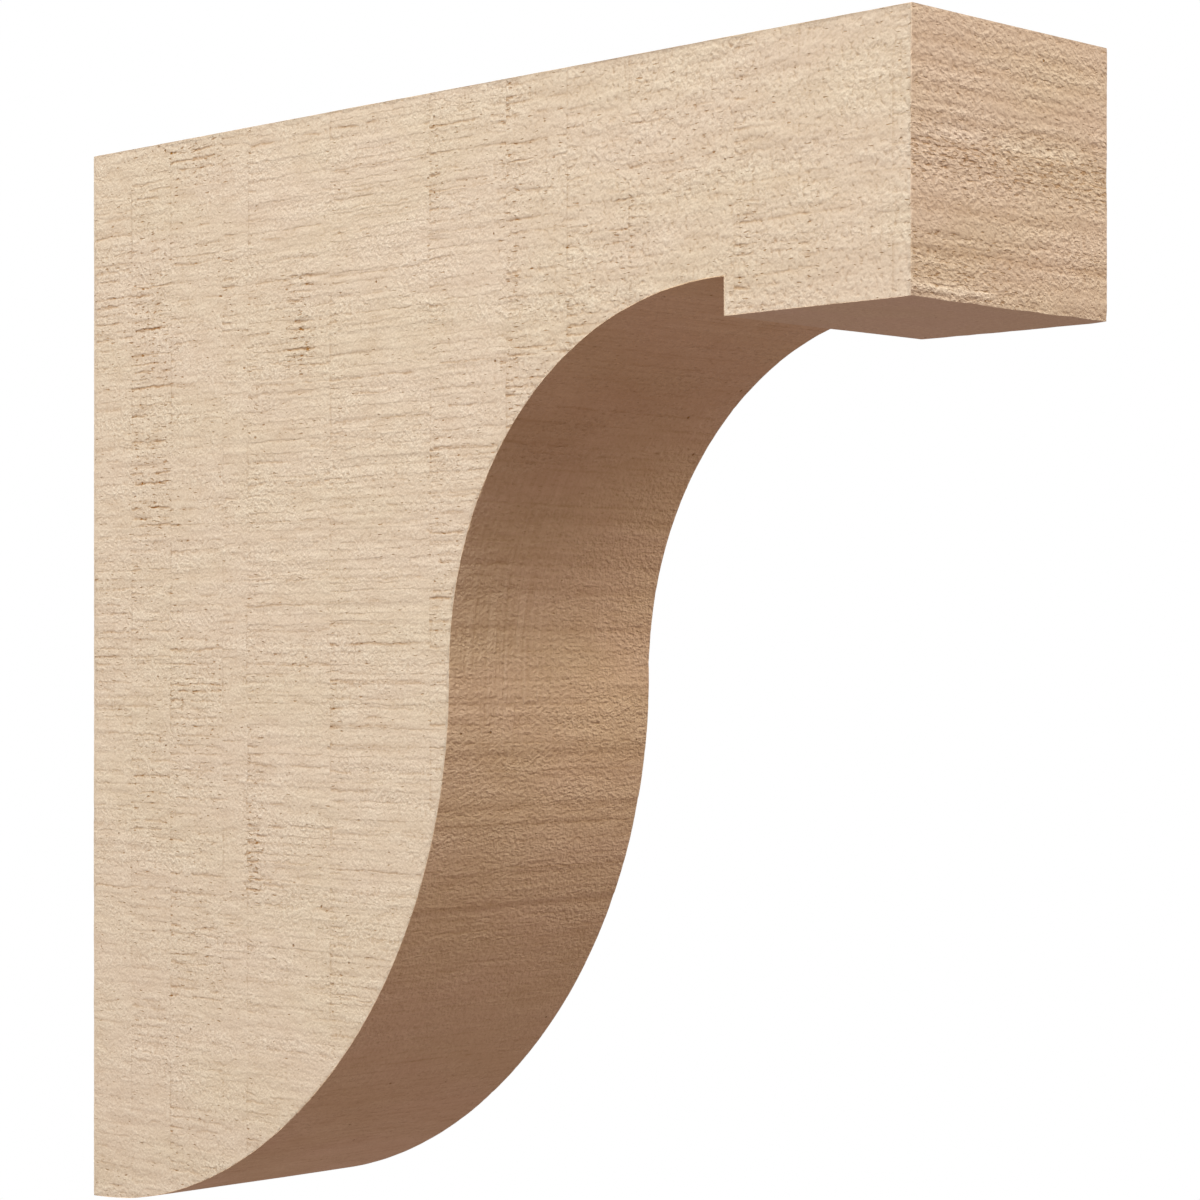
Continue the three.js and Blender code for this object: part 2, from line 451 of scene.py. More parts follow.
def beside_saw(reach, height, cell, seed):
    """Strip in front of each inner saw line: exp(-(distance / width)^2) times noise up the line."""
    panel = panel_at(reach).astype(int)
    inner_lines = (panel > 0) & (panel < len(PANELS) - 2)
    strip = inner_lines * bell(reach, panel_start[panel], SAW_WIDTH)
    return strip * noise(panel * SAW_SHIFT, height / cell, seed)


def side_relief(reach, height, tears, seed):
    """Relief of a side sheet, and its tears alone: the sum of everything the saw and the mould left."""
    lumpy = lumpiness(reach, height)
    bend = noise(reach / BEND_CELL[0], height / BEND_CELL[1], seed + 2)
    waves = noise(reach / WAVE_CELL[0], height / WAVE_CELL[1], seed)
    ridges = noise(reach / RIDGE_CELL[0], height / RIDGE_CELL[1], seed + 1)
    lumps = noise(reach / LUMP_CELL[0] + bend, height / LUMP_CELL[1] + 2 * bend, seed + 3)
    steps = np.random.default_rng(seed + 4).random(len(PANELS))[panel_at(reach).astype(int)]
    ragged = beside_saw(reach, height, RAG_CELL, seed + 6)
    torn = cut(reach, height, tears, seed + 5)
    depth = WAVE * waves + RIDGE * (1 - RIDGE_LOSS * lumpy) * ridges + LUMP * lumpy * lumps
    depth += PANEL_STEP * steps + RAG * (RAG_PLAIN + (1 - RAG_PLAIN) * lumpy) * ragged
    return depth + torn, torn


sides = {}
for name, first, line_seed, seed in (("left", 0, 11, 100), ("right", tears_a_side, 12, 200)):
    tears = np.concatenate([side_tears(first), grain_lines(line_seed)])
    sides[name] = [side_relief(*sheet, tears, seed) for sheet in sheets]
deepest = max(depth.max() for reliefs in sides.values() for depth, torn in reliefs)
print(f"sides: relief up to {deepest / MM:.2f} mm deep")

# %% [markdown]
# ## Relief of the belt
# Across the S-curve the grain runs from side to side, with long shakes where the timber dried and
# cracked. The end of the arm is the roughest face: its fibres are torn in a band about the middle, and
# its lower edge has chipped. The top and the back are plainer, since they end up hidden. Each face
# could be a mesh of its own, but one array for the whole belt needs no care at the corners.

# %% Find places on the belt
TORN_BAND, TORN_BAND_WIDTH = 44 * MM, 10 * MM

belt_x, belt_run = np.meshgrid(across, run)
front_start = run[last_row[SOFFIT]]
front_drop = front_start + BLOCK_HEIGHT - belt_run
on_front = (face == FRONT)[:, None]
torn_band = on_front * bell(front_drop, TORN_BAND, TORN_BAND_WIDTH)


def curve_place(rise):
    """Running length of the belt where the S-curve has a height in inches."""
    return np.interp(rise * INCH, curve_rows[:, 1], run[:len(curve_rows)])


def front_place(drop):
    """Running length of the belt at a drop below the top of the front."""
    return front_start + BLOCK_HEIGHT - drop


print(f"front of the belt: from {front_start / MM:.0f} to {front_place(0) / MM:.0f} mm round")

# %% Tear the belt
SHAKES = 14
SHAKE_LENGTH = (24 * MM, 62 * MM)
SHAKE_DEPTH = 0.22 * MM
FRONT_TEARS, FRONT_SHARE = 16, 0.45
CURVE_LINE_PITCH = 6.5 * MM
CURVE_LINE_DEPTH = (0.03 * MM, 0.14 * MM)
CURVE_LINE_LENGTH, CURVE_LINE_START = (0.3, 1.3), (-0.9, 0.4)
LINE_SEED, CUT_SEED = 31, 32


def curve_tears():
    """Shakes by the solid's scatter, and finer lines across the S-curve at every pitch."""
    count = np.arange(SHAKES)
    share = 2 * (count + 0.5 + 0.5 * scatter(count, 1)) / (SHAKES + 0.5)
    place = np.interp(share, (0, 1, 2), (0, belly_length, belly_length + cove_length))
    long = between(SHAKE_LENGTH, scatter(count, 2))
    span = WIDTH / 2 - EDGE_MARGIN - long / 2
    start = between((-span, span), scatter(count, 0)) - long / 2
    shakes = np.stack([start, place, long, np.full(SHAKES, SHAKE_DEPTH)], axis=1)
    chance = np.random.default_rng(LINE_SEED)
    lines = np.arange(0, belly_length + cove_length, CURVE_LINE_PITCH)
    lines = np.repeat(lines, 2) + chance.uniform(-0.5, 0.5, 2 * len(lines)) * CURVE_LINE_PITCH
    long = chance.uniform(*CURVE_LINE_LENGTH, len(lines)) * WIDTH
    start = chance.uniform(*CURVE_LINE_START, len(lines)) * WIDTH
    deep = chance.uniform(*CURVE_LINE_DEPTH, len(lines))
    return np.concatenate([shakes, np.stack([start, lines, long, deep], axis=1)])


def front_tears():
    """Tears on the end of the arm by the solid's scatter."""
    count = np.arange(FRONT_TEARS)
    long = between(TEAR_LENGTH, scatter(count, 2))
    deep = FRONT_SHARE * between(TEAR_DEPTH, scatter(count, 2))
    span = WIDTH / 2 - EDGE_MARGIN - long / 2
    start = between((-span, span), scatter(count, 1)) - long / 2
    drop = between((EDGE_MARGIN, BLOCK_HEIGHT - EDGE_MARGIN), scatter(count, 0))
    return np.stack([start, front_place(drop), long, deep], axis=1)


belt_torn = cut(belt_x, belt_run, np.concatenate([curve_tears(), front_tears()]), CUT_SEED)
print(f"belt: {SHAKES} shakes and {FRONT_TEARS} tears, up to {belt_torn.max() / MM:.2f} mm deep")

# %% [markdown]
# ## Ledges
# Some lines are not cracks but ledges: the fibres above a line stand proud of those below, or the
# other way round. Light from above catches a ledge that looks up and leaves one that looks down
# dark. Painted lines could look like that, but only under one light, so ledges are relief. Even so,
# the S-curve gets thin bands of painted shade along its ledges further on, and the front's ledge that
# looks up a painted highlight. A ledge has its full depth at the line and fades away from it, on one
# side only.

# %% Add the ledges
CURVE_LEDGES = (
    (4.20, 0.03, -0.10), (4.75, 0.04, -0.46), (5.20, 0.05, -0.16), (5.90, 0.02, -0.14),
    (6.18, 0.02, -0.14), (6.60, 0.01, -0.14), (6.92, 0.01, -0.24), (7.55, 0.01, 0.14),
    (8.65, 0.01, -0.18), (9.19, 0.01, -0.20), (9.60, 0.01, -0.12), (10.2, 0.01, -0.12),
)
FRONT_LEDGES = (
    (16.3, (-60, 60), -0.05), (23.8, (-60, 60), -0.06), (32.5, (-60, 60), -0.07),
    (38.8, (-46, 40), 0.38), (48.3, (-45, 30), -0.06), (68.2, (-60, 60), -0.06),
    (73.4, (-60, 60), -0.08),
)
LEDGE_FADE, LEDGE_END = 4.5 * MM, 6 * MM
JAG_SHARE, JAG_CELL = 0.7, 4 * MM
SHIFT = 9
WANDER_SEED, JAG_SEED = 37, 40


def wandering(x, cell, place, seed):
    """How far a line across the belt strays at each x: noise along the line, less its average."""
    return noise(x / cell + SHIFT, 0 * x + place / MM, seed) - 0.5


def ledge(place, slant, limits, deep):
    """Depth on one side of a wandering line: full at the line, falling by exp(-distance / fade)."""
    wander = wandering(belt_x, WANDER_CELL, place, WANDER_SEED)
    wander += JAG_SHARE * wandering(belt_x, JAG_CELL, place, JAG_SEED)
    away = (belt_run - place - slant * belt_x - WANDER * wander) * np.sign(deep)
    start, end = limits
    ends = ease(belt_x, (start, start + LEDGE_END)) * ease(-belt_x, (-end, LEDGE_END - end))
    return abs(deep) * ends * np.exp(-np.abs(away) / LEDGE_FADE) * (away > 0)


made = [ledge(curve_place(rise), slant, (-WIDTH, WIDTH), deep * MM) for rise, slant, deep in CURVE_LEDGES]
for drop, limits, deep in FRONT_LEDGES:
    made.append(ledge(front_place(drop * MM), 0, np.array(limits) * MM, deep * MM))
belt_ledges = np.max(made, axis=0)
print(f"ledges: {len(made)}, up to {belt_ledges.max() / MM:.2f} mm high")

# %% [markdown]
# ## The rest of the belt
# Under tears and ledges lie low waves and ridges, and the torn band has granules of its own. Corners
# are worn, and the lower edge of the front is chipped. A Bevel modifier would wear all corners alike,
# so wear and chips are part of the relief. Where a ledge of the front looks up, and along part of its
# lower rim, the coat gets a painted highlight, so that share is kept for the marks further on.

# %% Finish the relief of the belt
BELT_WAVE = (0.30, 0.15, 0.15, 0.06, 0.15, 0.10)
BELT_RIDGE = (0.12, 0.12, 0.12, 0.09, 0.10, 0.05)
RIDGE_LENGTH = (16, 16, 16, 45, 16, 16)
BELT_WAVE_CELL = (55 * MM, 38 * MM)
RIDGE_BREADTH, RIDGE_TORN = 3 * MM, 0.8
GRANULE, GRANULE_CELL, GRANULE_SHIFT = 0.25 * MM, (5 * MM, 2.4 * MM), 30
CORNER_WEAR = 0.12 * MM
CHIP_DEPTH, CHIP_CELL, CHIP_LEVELS, CHIP_REACH = 0.35 * MM, 7 * MM, (0.4, 0.7), 2.4 * MM
HIGHLIGHT_BREADTH, HIGHLIGHT_LEVELS = 2 * MM, (0.1, 0.6)
RIM_DROP, RIM_WIDTH, RIM_END = 85.7 * MM, 1.2 * MM, -14 * MM
WAVE_SEED, RIDGE_SEED, GRANULE_SEED, CHIP_SEED, HIGHLIGHT_SEED = 33, 34, 35, 36, 43


def by_face(values):
    """One value per row of the belt, from one value per face."""
    return np.array(values)[face][:, None]


def belt_noise(length, breadth, seed, shift=SHIFT):
    """Noise over the belt with cells of a length across the width and a breadth round the outline."""
    return noise(belt_x / length + shift, belt_run / breadth, seed)


waves = by_face(BELT_WAVE) * belt_noise(*BELT_WAVE_CELL, WAVE_SEED)
ridges = by_face(BELT_RIDGE) * belt_noise(by_face(RIDGE_LENGTH) * MM, RIDGE_BREADTH, RIDGE_SEED)
granules = belt_noise(*GRANULE_CELL, GRANULE_SEED, GRANULE_SHIFT)
belt_depth = MM * (waves + ridges * (1 + RIDGE_TORN * torn_band)) + GRANULE * torn_band * granules
belt_depth += belt_torn + belt_ledges
belt_depth[last_row[1:]] += CORNER_WEAR
chip = ease(noise(across / CHIP_CELL + SHIFT, 0 * across, CHIP_SEED), CHIP_LEVELS)
lower_edge = chip * bell(belt_run, front_start, CHIP_REACH)
belt_depth += CHIP_DEPTH * lower_edge * ((face == FRONT) | (face == SOFFIT))[:, None]

# Painted highlight: along part of the lower rim of the front, and on the front's ledges that look up.
belt_painted_highlight = bell(front_drop, RIM_DROP, RIM_WIDTH) * ease(-belt_x, (-RIM_END - LEDGE_END, -RIM_END))
belt_painted_highlight *= on_front
lumps = ease(belt_noise(JAG_CELL, HIGHLIGHT_BREADTH, HIGHLIGHT_SEED), HIGHLIGHT_LEVELS)
for depth, (drop, limits, deep) in zip(made[len(CURVE_LEDGES):], FRONT_LEDGES):
    if deep > 0:
        belt_painted_highlight = np.maximum(belt_painted_highlight, depth / (deep * MM) * lumps)
print(f"belt: relief up to {belt_depth.max() / MM:.2f} mm deep, {(belt_painted_highlight > 0.5).sum()} bright points")

# %% [markdown]
# ## From sheets to places
# Sheets become points in space: a side sheet lies in the plane of its side and is pushed in by its
# relief, and the belt is pushed in along its normals. The long edges of the casting are a little round
# and chipped here and there. A Bevel modifier can't chip them, so an edge is a row of its own: the middle
# of a quarter round, which bulges out by its share of the radius, less where it is chipped.

# %% Place every sheet
BULGE = 1 - math.cos(math.pi / 4)
EDGE_CHIP, EDGE_CHIP_CELL, EDGE_CHIP_LEVELS = 0.8, 9 * MM, (0.55, 0.95)


def to_space(x, reach, height):
    """Points in space: x across, y the wall less the reach, z the foot plus the height."""
    return np.stack([x, high[1] - reach, low[2] + height], axis=-1)


def worn_edge(side_rim, belt_rim, sign, seed):
    """Middle of the quarter round: half way between both rims, bulged along the diagonal."""
    diagonal = np.stack([np.full(len(run), sign), -normal[:, 0], normal[:, 1]], axis=1)
    chipped = EDGE_CHIP * ease(noise(run / EDGE_CHIP_CELL, 0 * run, seed), EDGE_CHIP_LEVELS)
    bulge = BULGE * EDGE * (1 - chipped) / math.sqrt(2)
    middle = (side_rim + belt_rim) / 2 + bulge[:, None] * diagonal
    middle[-1] = middle[0]
    return middle


belt_place = to_space(belt_x, *(outer[:, [i]] - belt_depth * normal[:, [i]] for i in (0, 1)))
belt_place[-1] = belt_place[0]
side_place, edge_place = {}, {}
for name, sign, column, seed in (("left", -1, 0, 41), ("right", 1, -1, 42)):
    body, block = (to_space(sign * (WIDTH / 2 - depth), *sheet)
                   for sheet, (depth, torn) in zip(sheets, sides[name]))
    body[0] = body[0, 0]
    side_place[name] = body, block
    edge_place[name] = worn_edge(rim(body, block), belt_place[:, column], sign, seed)
print(f"placed {2 * (body_reach.size + block_reach.size) + belt_x.size} points")

# %% [markdown]
# ## Maps and marks
# Grain has a direction, so the material needs to know which way it runs. Blender can unwrap a mesh by
# itself, but the pieces then lie at any angle. So each sheet carries a grain map in metres, along the
# grain and across it. A second map lays all sheets flat beside each other without overlap, for
# baking. Marks at the vertices carry what only the mesh knows: how deep a tear is, how torn, lined,
# lumpy and streaky the surface is, where painted shade and painted highlights lie, and which panel it
# lies in.

# %% Keep sheets with their maps
GAP = 6 * MM
ATLAS = 2 * DEPTH + 3 * GAP
SIDE_FINISH, CURVE_FINISH, END_FINISH, BACK_FINISH = range(4)
# The fifth mark holds streaks together with painted shade and painted highlights.
MARKS = ("groove", "torn", "lined", "lumpy", "streak", "saw")
patches = []


def add_patch(place, grain, bake, marks, finish, flip=False):
    """Keeps one grid of vertices with its maps and marks, for the mesh."""
    values = np.stack([np.broadcast_to(mark, place.shape[:2]) for mark in marks], axis=-1)
    patches.append({"place": place, "grain": grain, "bake": bake / ATLAS, "marks": values,
                    "finish": finish, "flip": flip})


print(f"bake map: {ATLAS / MM:.0f} mm square, with {len(MARKS)} marks at each vertex")

# %% Mark the sides
TORN_CELL, TORN_SHIFT, TORN_UNEVEN = 34 * MM, 3.7, (0.2, 1.5)
PATCH_LONG, PATCH_HIGH, PATCH_UNEVEN = 0.6, 0.7, (0.4, 1.0)
SAW_TORN, SAW_TORN_CELL = 0.45, 22 * MM
# Painted highlight along the front edge of a side, and painted shade growing towards its front.
EDGE_HIGHLIGHT, EDGE_HIGHLIGHT_WIDTH = 0.6, 2 * MM
SIDE_PAINTED_SHADE, PAINTED_SHADE_REACH = 0.16, (180 * MM, 400 * MM)
FOOT_CALM, FOOT_HEIGHT = 0.36, (40 * MM, 230 * MM)
LINED_LOSS = 0.7


def calm(height):
    """Share of the marks that is left: fewer near the foot, all of them higher up."""
    return 1 - FOOT_CALM * (1 - ease(height, FOOT_HEIGHT))


def side_torn(reach, height, seed):
    """How torn a side is: by its panel, uneven along it, beside saw lines and in the torn patches."""
    panel = panel_at(reach).astype(int)
    uneven = noise(panel * TORN_SHIFT, height / TORN_CELL, seed)
    torn = panel_torn[panel] * between(TORN_UNEVEN, uneven ** 2)
    torn += SAW_TORN * beside_saw(reach, height, SAW_TORN_CELL, seed + 20)
    torn *= calm(height)
    for start, heights, tears, lengths in TORN_PATCHES:
        along = ((reach - start) / lengths[1] - 0.5) / PATCH_LONG
        up = (height - np.mean(heights)) / (heights[1] - heights[0]) / PATCH_HIGH
        patch = np.exp(-along ** 6 - up ** 4) * between(PATCH_UNEVEN, uneven)
        torn = np.maximum(torn, softened(start, heights) * patch)
    return torn


def side_marks(reach, height, torn, seed):
    """Marks of a side sheet in their order. Painted shade darkens the side towards the front, and a painted
    highlight brightens its front edge.
    """
    lumpy = lumpiness(reach, height)
    lined = calm(height) * panel_lined[panel_at(reach).astype(int)] * (1 - LINED_LOSS * lumpy)
    # Painted shade towards the front, less a painted highlight at the front edge.
    streak = SIDE_PAINTED_SHADE * ease(reach, PAINTED_SHADE_REACH)
    streak -= EDGE_HIGHLIGHT * np.exp(-(DEPTH - reach) / EDGE_HIGHLIGHT_WIDTH)
    return torn / MM, side_torn(reach, height, seed), lined, lumpy, streak, panel_at(reach)


print(f"marks left at the foot of a side: {calm(0):.2f}")

# %% Collect the sides
for name, offset, seed in (("left", GAP, 51), ("right", 2 * GAP + DEPTH, 52)):
    flip = name == "right"
    for (reach, height), (depth, torn), place in zip(sheets, sides[name], side_place[name]):
        grain = np.stack([reach, height + flip * HEIGHT], axis=-1)
        bake = np.stack([reach + offset, height + GAP], axis=-1)
        add_patch(place, grain, bake, side_marks(reach, height, torn, seed), SIDE_FINISH, flip)
print(f"collected {len(patches)} side sheets")

# %% [markdown]
# ## Marks of the belt
# The belt gets the same maps and marks, face by face. On the end of the arm the primer is streaked
# along the year rings. On the S-curve the bands are painted shade, thin ones along the ledges and a broad
# one in the cove, with a darker band across the belly and painted light at the foot of the belly. Noise
# could give such bands, but at any height, so these are bands at given places, uneven along their
# length. One spot of the S-curve is scratched upright.

# %% Widen the belt to its worn edges
edge_steps = EDGE * math.pi / 4 * np.array([2, 1])
belt_across = np.concatenate([across[0] - edge_steps, across, across[-1] + edge_steps[::-1]])
left_rim, right_rim = (rim(*side_place[name]) for name in ("left", "right"))
belt_points = np.concatenate([
    left_rim[:, None], edge_place["left"][:, None], belt_place,
    edge_place["right"][:, None], right_rim[:, None],
], axis=1)
wide_x, wide_run = np.meshgrid(belt_across, run)


def widened(values, mode):
    """Values of the belt with two more columns at either side, for the worn edges."""
    return np.pad(values, ((0, 0), (2, 2)), mode=mode)


print(f"belt: {belt_points.shape[:2]} vertices with its worn edges")

# %% Streak the belt
# Strength of the painted highlight on the front.
HIGHLIGHT_STRENGTH = 1.45
CHIP_DARK, TOP_PAINTED_SHADE = 0.9, 0.4
STREAK_WANDER, STREAK_CELL, STREAK_SEED = 0.9 * WANDER, 30 * MM, 38
UNEVEN_LEAST, UNEVEN_CELL, UNEVEN_SEED = 0.3, (22 * MM, 9 * MM), 39
FRONT_STREAKS = (
    (1.7, 1.0, 0.4), (9.4, 1.8, 0.8), (12.6, 1.6, -0.3), (16.8, 1.4, 0.9), (19.0, 1.0, -0.3),
    (24.2, 1.4, 0.7), (28.8, 0.9, 0.3), (30.5, 1.1, -0.4), (33.0, 1.3, 0.85), (48.3, 2.0, 0.1),
    (60.3, 2.2, 0.65), (68.2, 1.4, 0.25), (73.6, 1.5, 1.15), (80.0, 2.0, 0.5),
)
# Rows: height in inches, width in mm and strength, darker when positive. The first three are broad: painted
# shade in the cove, a darker band on the belly, painted light at the foot. The rest are thin bands of
# painted shade along the ledges.
CURVE_LIGHT_AND_SHADE = (
    (11.6, 40.0, 0.45), (4.2, 20.0, 0.25), (0.3, 110.0, -0.5),
    (4.75, 1.3, 1.2), (5.15, 1.4, 0.3), (5.9, 2.0, 0.2), (6.18, 1.2, 0.25), (6.60, 1.2, 0.35),
    (6.85, 3.0, 0.8), (8.65, 1.0, 0.6), (9.19, 1.6, 0.5), (9.60, 3.0, 0.3), (10.2, 1.4, 0.4),
)

uneven = UNEVEN_LEAST + noise(wide_x / UNEVEN_CELL[0] + SHIFT, wide_run / UNEVEN_CELL[1], UNEVEN_SEED)


def streak(place, width, strength):
    """Band across the belt: exp(-(distance / width)^2), wandering and uneven along its length."""
    wander = STREAK_WANDER * wandering(wide_x, STREAK_CELL, place, STREAK_SEED)
    return strength * uneven * bell(wide_run - wander, place, width)


# Darker chips, less the painted highlight of the front.
belt_streak_shade_highlight = widened(CHIP_DARK * lower_edge * on_front - HIGHLIGHT_STRENGTH * belt_painted_highlight, "constant")
for drop, width, strength in FRONT_STREAKS:
    belt_streak_shade_highlight += streak(front_place(drop * MM), width * MM, strength)
# Bands of painted light and shade on the S-curve.
for rise, width, strength in CURVE_LIGHT_AND_SHADE:
    belt_streak_shade_highlight += streak(curve_place(rise), width * MM, strength)
# Painted shade dims the whole top, which the softboxes above light most.
belt_streak_shade_highlight[face == TOP] += TOP_PAINTED_SHADE
print(f"streaks: {len(FRONT_STREAKS) + len(CURVE_LIGHT_AND_SHADE)}, up to {belt_streak_shade_highlight.max():.2f} strong")

# %% Collect the belt
BELT_TORN = (0.20, 0.10, 0.10, 0.20, 0.12, 0.0)
BELT_LINED = (0.50, 0.20, 0.20, 0.30, 0.40, 0.0)
BELT_LUMPY = (0.20, 0.10, 0.10, 0.60, 0.10, 0.10)
BELT_SAW, SAW_SPAN = 20, (0.2, 0.8)
SCRATCHED_HEIGHT, SCRATCHED_WIDTH = (8.7 * INCH, 1.6 * INCH), (-26 * MM, 22 * MM)
LOW_TORN, LOW_DROP, LOW_SIDE = 0.7, (68 * MM, 80 * MM), (-0.3 * WIDTH, 0.2 * WIDTH)
NICK_TORN, NICK_DROP, NICK_WIDTH = 0.7, 69.5 * MM, 1.6 * MM

low_torn = LOW_TORN * ease(front_drop, LOW_DROP) * ease(-belt_x, LOW_SIDE)
nick_row = NICK_TORN * bell(front_drop, NICK_DROP, NICK_WIDTH)
scratched = bell(outer[:, 1:], *SCRATCHED_HEIGHT) * bell(wide_x, *SCRATCHED_WIDTH)
belt_marks = [
    widened(belt_torn, "constant") / MM,
    by_face(BELT_TORN) + widened(torn_band + on_front * (low_torn + nick_row), "edge"),
    by_face(BELT_LINED),
    by_face(BELT_LUMPY) + scratched * (face == CURVE)[:, None],
    belt_streak_shade_highlight,
    BELT_SAW + face[:, None] + between(SAW_SPAN, wide_x / WIDTH + 0.5),
]
print("marks of the belt, at most:", [round(float(mark.max()), 2) for mark in belt_marks])

# %% [markdown]
# ## Faces of the belt
# The S-curve, the end of the arm with its step and soffit, and the back each have a finish of their
# own, and the top has that of the sides. One material with masks could hold all of them, but separate
# ones are easier to read, so the belt is cut into four bands. They lie on two shelves of the bake map.
# On the top the grain runs out from the wall, so its map is turned, and it shows the sides' panels.

# %% Cut the belt into its faces
TOP_SAW = 30
SHELF = WIDTH + 4 * EDGE + GAP

bands = (
    (0, last_row[CURVE], 0, CURVE_FINISH),
    (last_row[CURVE], last_row[FRONT], 0, END_FINISH),
    (last_row[FRONT], last_row[TOP], 1, SIDE_FINISH),
    (last_row[TOP], last_row[BACK], 1, BACK_FINISH),
)
for first, last, shelf, finish in bands:
    rows = slice(first, last + 1)
    along, sideways = wide_run[rows], wide_x[rows]
    grain = np.stack([sideways, along], axis=-1)
    marks = [mark[rows] for mark in belt_marks]
    if finish == SIDE_FINISH:
        grain = grain[..., ::-1]
        marks[-1] = TOP_SAW + panel_at(outer[rows, :1])
    begin = shelf * run[last_row[FRONT]]
    bake = np.stack([along - begin + GAP, sideways + HEIGHT + 2 * GAP + (shelf + 0.5) * SHELF], axis=-1)
    add_patch(belt_points[rows], grain, bake, marks, finish)
print(f"collected {len(bands)} bands, so {len(patches)} patches in all")

# %% [markdown]
# ## One closed mesh
# The casting has one skin without a gap. The sheets could stay separate objects, but then their seams
# would show. A grid of vertices becomes quads by adding one row or one column to a vertex's number, so
# no loop over vertices is needed. The grids are then welded where they meet, which also closes the point
# at the foot. A closed mesh with outward faces has a positive volume, and that is printed as a test.

# %% Number the quads
def quads(first, rows, columns, flip):
    """Corner numbers of every cell of a grid, counted round so that the face looks outwards."""
    number = first + np.arange(rows * columns).reshape(rows, columns)
    corners = [number[:-1, :-1], number[:-1, 1:], number[1:, 1:], number[1:, :-1]]
    cells = np.stack(corners, axis=-1).reshape(-1, 4)
    return cells[:, ::-1] if flip else cells


def gathered(kind):
    """One value per vertex from all patches, in one long array."""
    return np.concatenate([patch[kind].reshape(-1, patch[kind].shape[-1]) for patch in patches])


print(f"{len(gathered('place'))} vertices before the weld")

# %% Build and weld the casting
WELD = 2e-6
SHARP = math.radians(35)


def casting_mesh():
    """All patches in one mesh, with both maps and all marks, welded into one skin."""
    shapes = [patch["place"].shape[:2] for patch in patches]
    firsts = np.cumsum([0] + [rows * columns for rows, columns in shapes])
    cells = [quads(first, *shape, patch["flip"])
             for first, shape, patch in zip(firsts, shapes, patches)]
    faces = np.concatenate(cells)
    mesh = bpy.data.meshes.new("corbel_casting")
    mesh.from_pydata(gathered("place"), [], faces)
    for name, kind in (("OFBake", "bake"), ("grain", "grain")):
        layer = mesh.uv_layers.new(name=name)
        layer.uv.foreach_set("vector", gathered(kind)[faces.ravel()].astype(np.float32).ravel())
    for name, values in zip(MARKS, gathered("marks").T):
        mark = mesh.attributes.new(name, "FLOAT", "POINT")
        mark.data.foreach_set("value", values.astype(np.float32))
    finish = np.repeat([patch["finish"] for patch in patches], [len(cell) for cell in cells])
    mesh.polygons.foreach_set("material_index", finish.astype(np.int32))
    mesh.polygons.foreach_set("use_smooth", np.ones(len(faces), bool))
    skin = bmesh.new()
    skin.from_mesh(mesh)
    bmesh.ops.remove_doubles(skin, verts=skin.verts, dist=WELD)
    open_edges = sum(not edge.is_manifold for edge in skin.edges)
    triangles = sum(len(cell.verts) - 2 for cell in skin.faces)
    print(f"casting: {triangles} triangles, {open_edges} open edges, "
          f"{skin.calc_volume(signed=True) / MM ** 3 / 1e6:.3f} litres")
    skin.to_mesh(mesh)
    skin.free()
    mesh.set_sharp_from_angle(angle=SHARP)
    return mesh


casting = bpy.data.objects.new("corbel_casting", casting_mesh())
bpy.context.scene.collection.objects.link(casting)
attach(casting, "root")
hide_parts("corbel")

# %% [markdown]
# ## Node helpers
# A material is a tree of nodes. It can be drawn by hand in the shader editor, but written in code it can
# be read and repeated. A few small helpers keep that short: they set or link a socket, add a node, do
# sums and make fades and noise. Effects that all finishes share are node groups with named sockets.

# %% Write the node helpers
def wire(tree, value, socket):
    """Links an output to a socket, or sets a plain value on it."""
    if isinstance(value, bpy.types.NodeSocket):
        tree.links.new(value, socket)
    else:
        socket.default_value = value


def node(tree, kind, inputs=(), **settings):
    """Outputs of a new shader node, its settings made and its inputs wired by name or number."""
    made = tree.nodes.new("ShaderNode" + kind)
    for name, value in settings.items():
        setattr(made, name, value)
    for name, value in dict(inputs).items():
        wire(tree, value, made.inputs[name])
    return made.outputs


def calc(tree, operation, *values):
    """One Math node on up to three sockets or numbers."""
    return node(tree, "Math", enumerate(values), operation=operation)[0]


def product(tree, first, *others):
    """All sockets multiplied together."""
    for other in others:
        first = calc(tree, "MULTIPLY", first, other)
    return first


print("helpers: wire, node, calc, product")

# %% Write fades, noise and groups
def fade(tree, value, start, end):
    """Smooth step of a value: 0 at start and 1 at end, in either order."""
    inputs = {"Value": value, "From Min": start, "From Max": end}
    return node(tree, "MapRange", inputs, interpolation_type="SMOOTHSTEP")["Result"]


def stretched(tree, vector, length, breadth):
    """A map measured in cells: along the grain by a length, across it by a breadth."""
    sizes = (calc(tree, "DIVIDE", 1.0, size) for size in (length, breadth))
    cells = node(tree, "CombineXYZ", enumerate(sizes))[0]
    return node(tree, "VectorMath", {0: vector, 1: cells}, operation="MULTIPLY")[0]


def cloud(tree, vector, length, breadth, detail):
    """Flat noise of about 0.5 on average, with cells of a length and a breadth."""
    inputs = {"Vector": stretched(tree, vector, length, breadth), "Scale": 1.0, "Detail": detail}
    return node(tree, "TexNoise", inputs, noise_dimensions="2D")[0]


def new_group(name, inputs, outputs):
    """An empty node group with named sockets: its tree, its inputs and its outputs."""
    tree = bpy.data.node_groups.new(name, "ShaderNodeTree")
    for socket in inputs:
        kind = "NodeSocketVector" if socket == "Grain" else "NodeSocketFloat"
        tree.interface.new_socket(name=socket, in_out="INPUT", socket_type=kind)
    for socket in outputs:
        tree.interface.new_socket(name=socket, in_out="OUTPUT", socket_type="NodeSocketFloat")
    return tree, tree.nodes.new("NodeGroupInput").outputs, tree.nodes.new("NodeGroupOutput").inputs


print("helpers: fade, stretched, cloud, new_group")

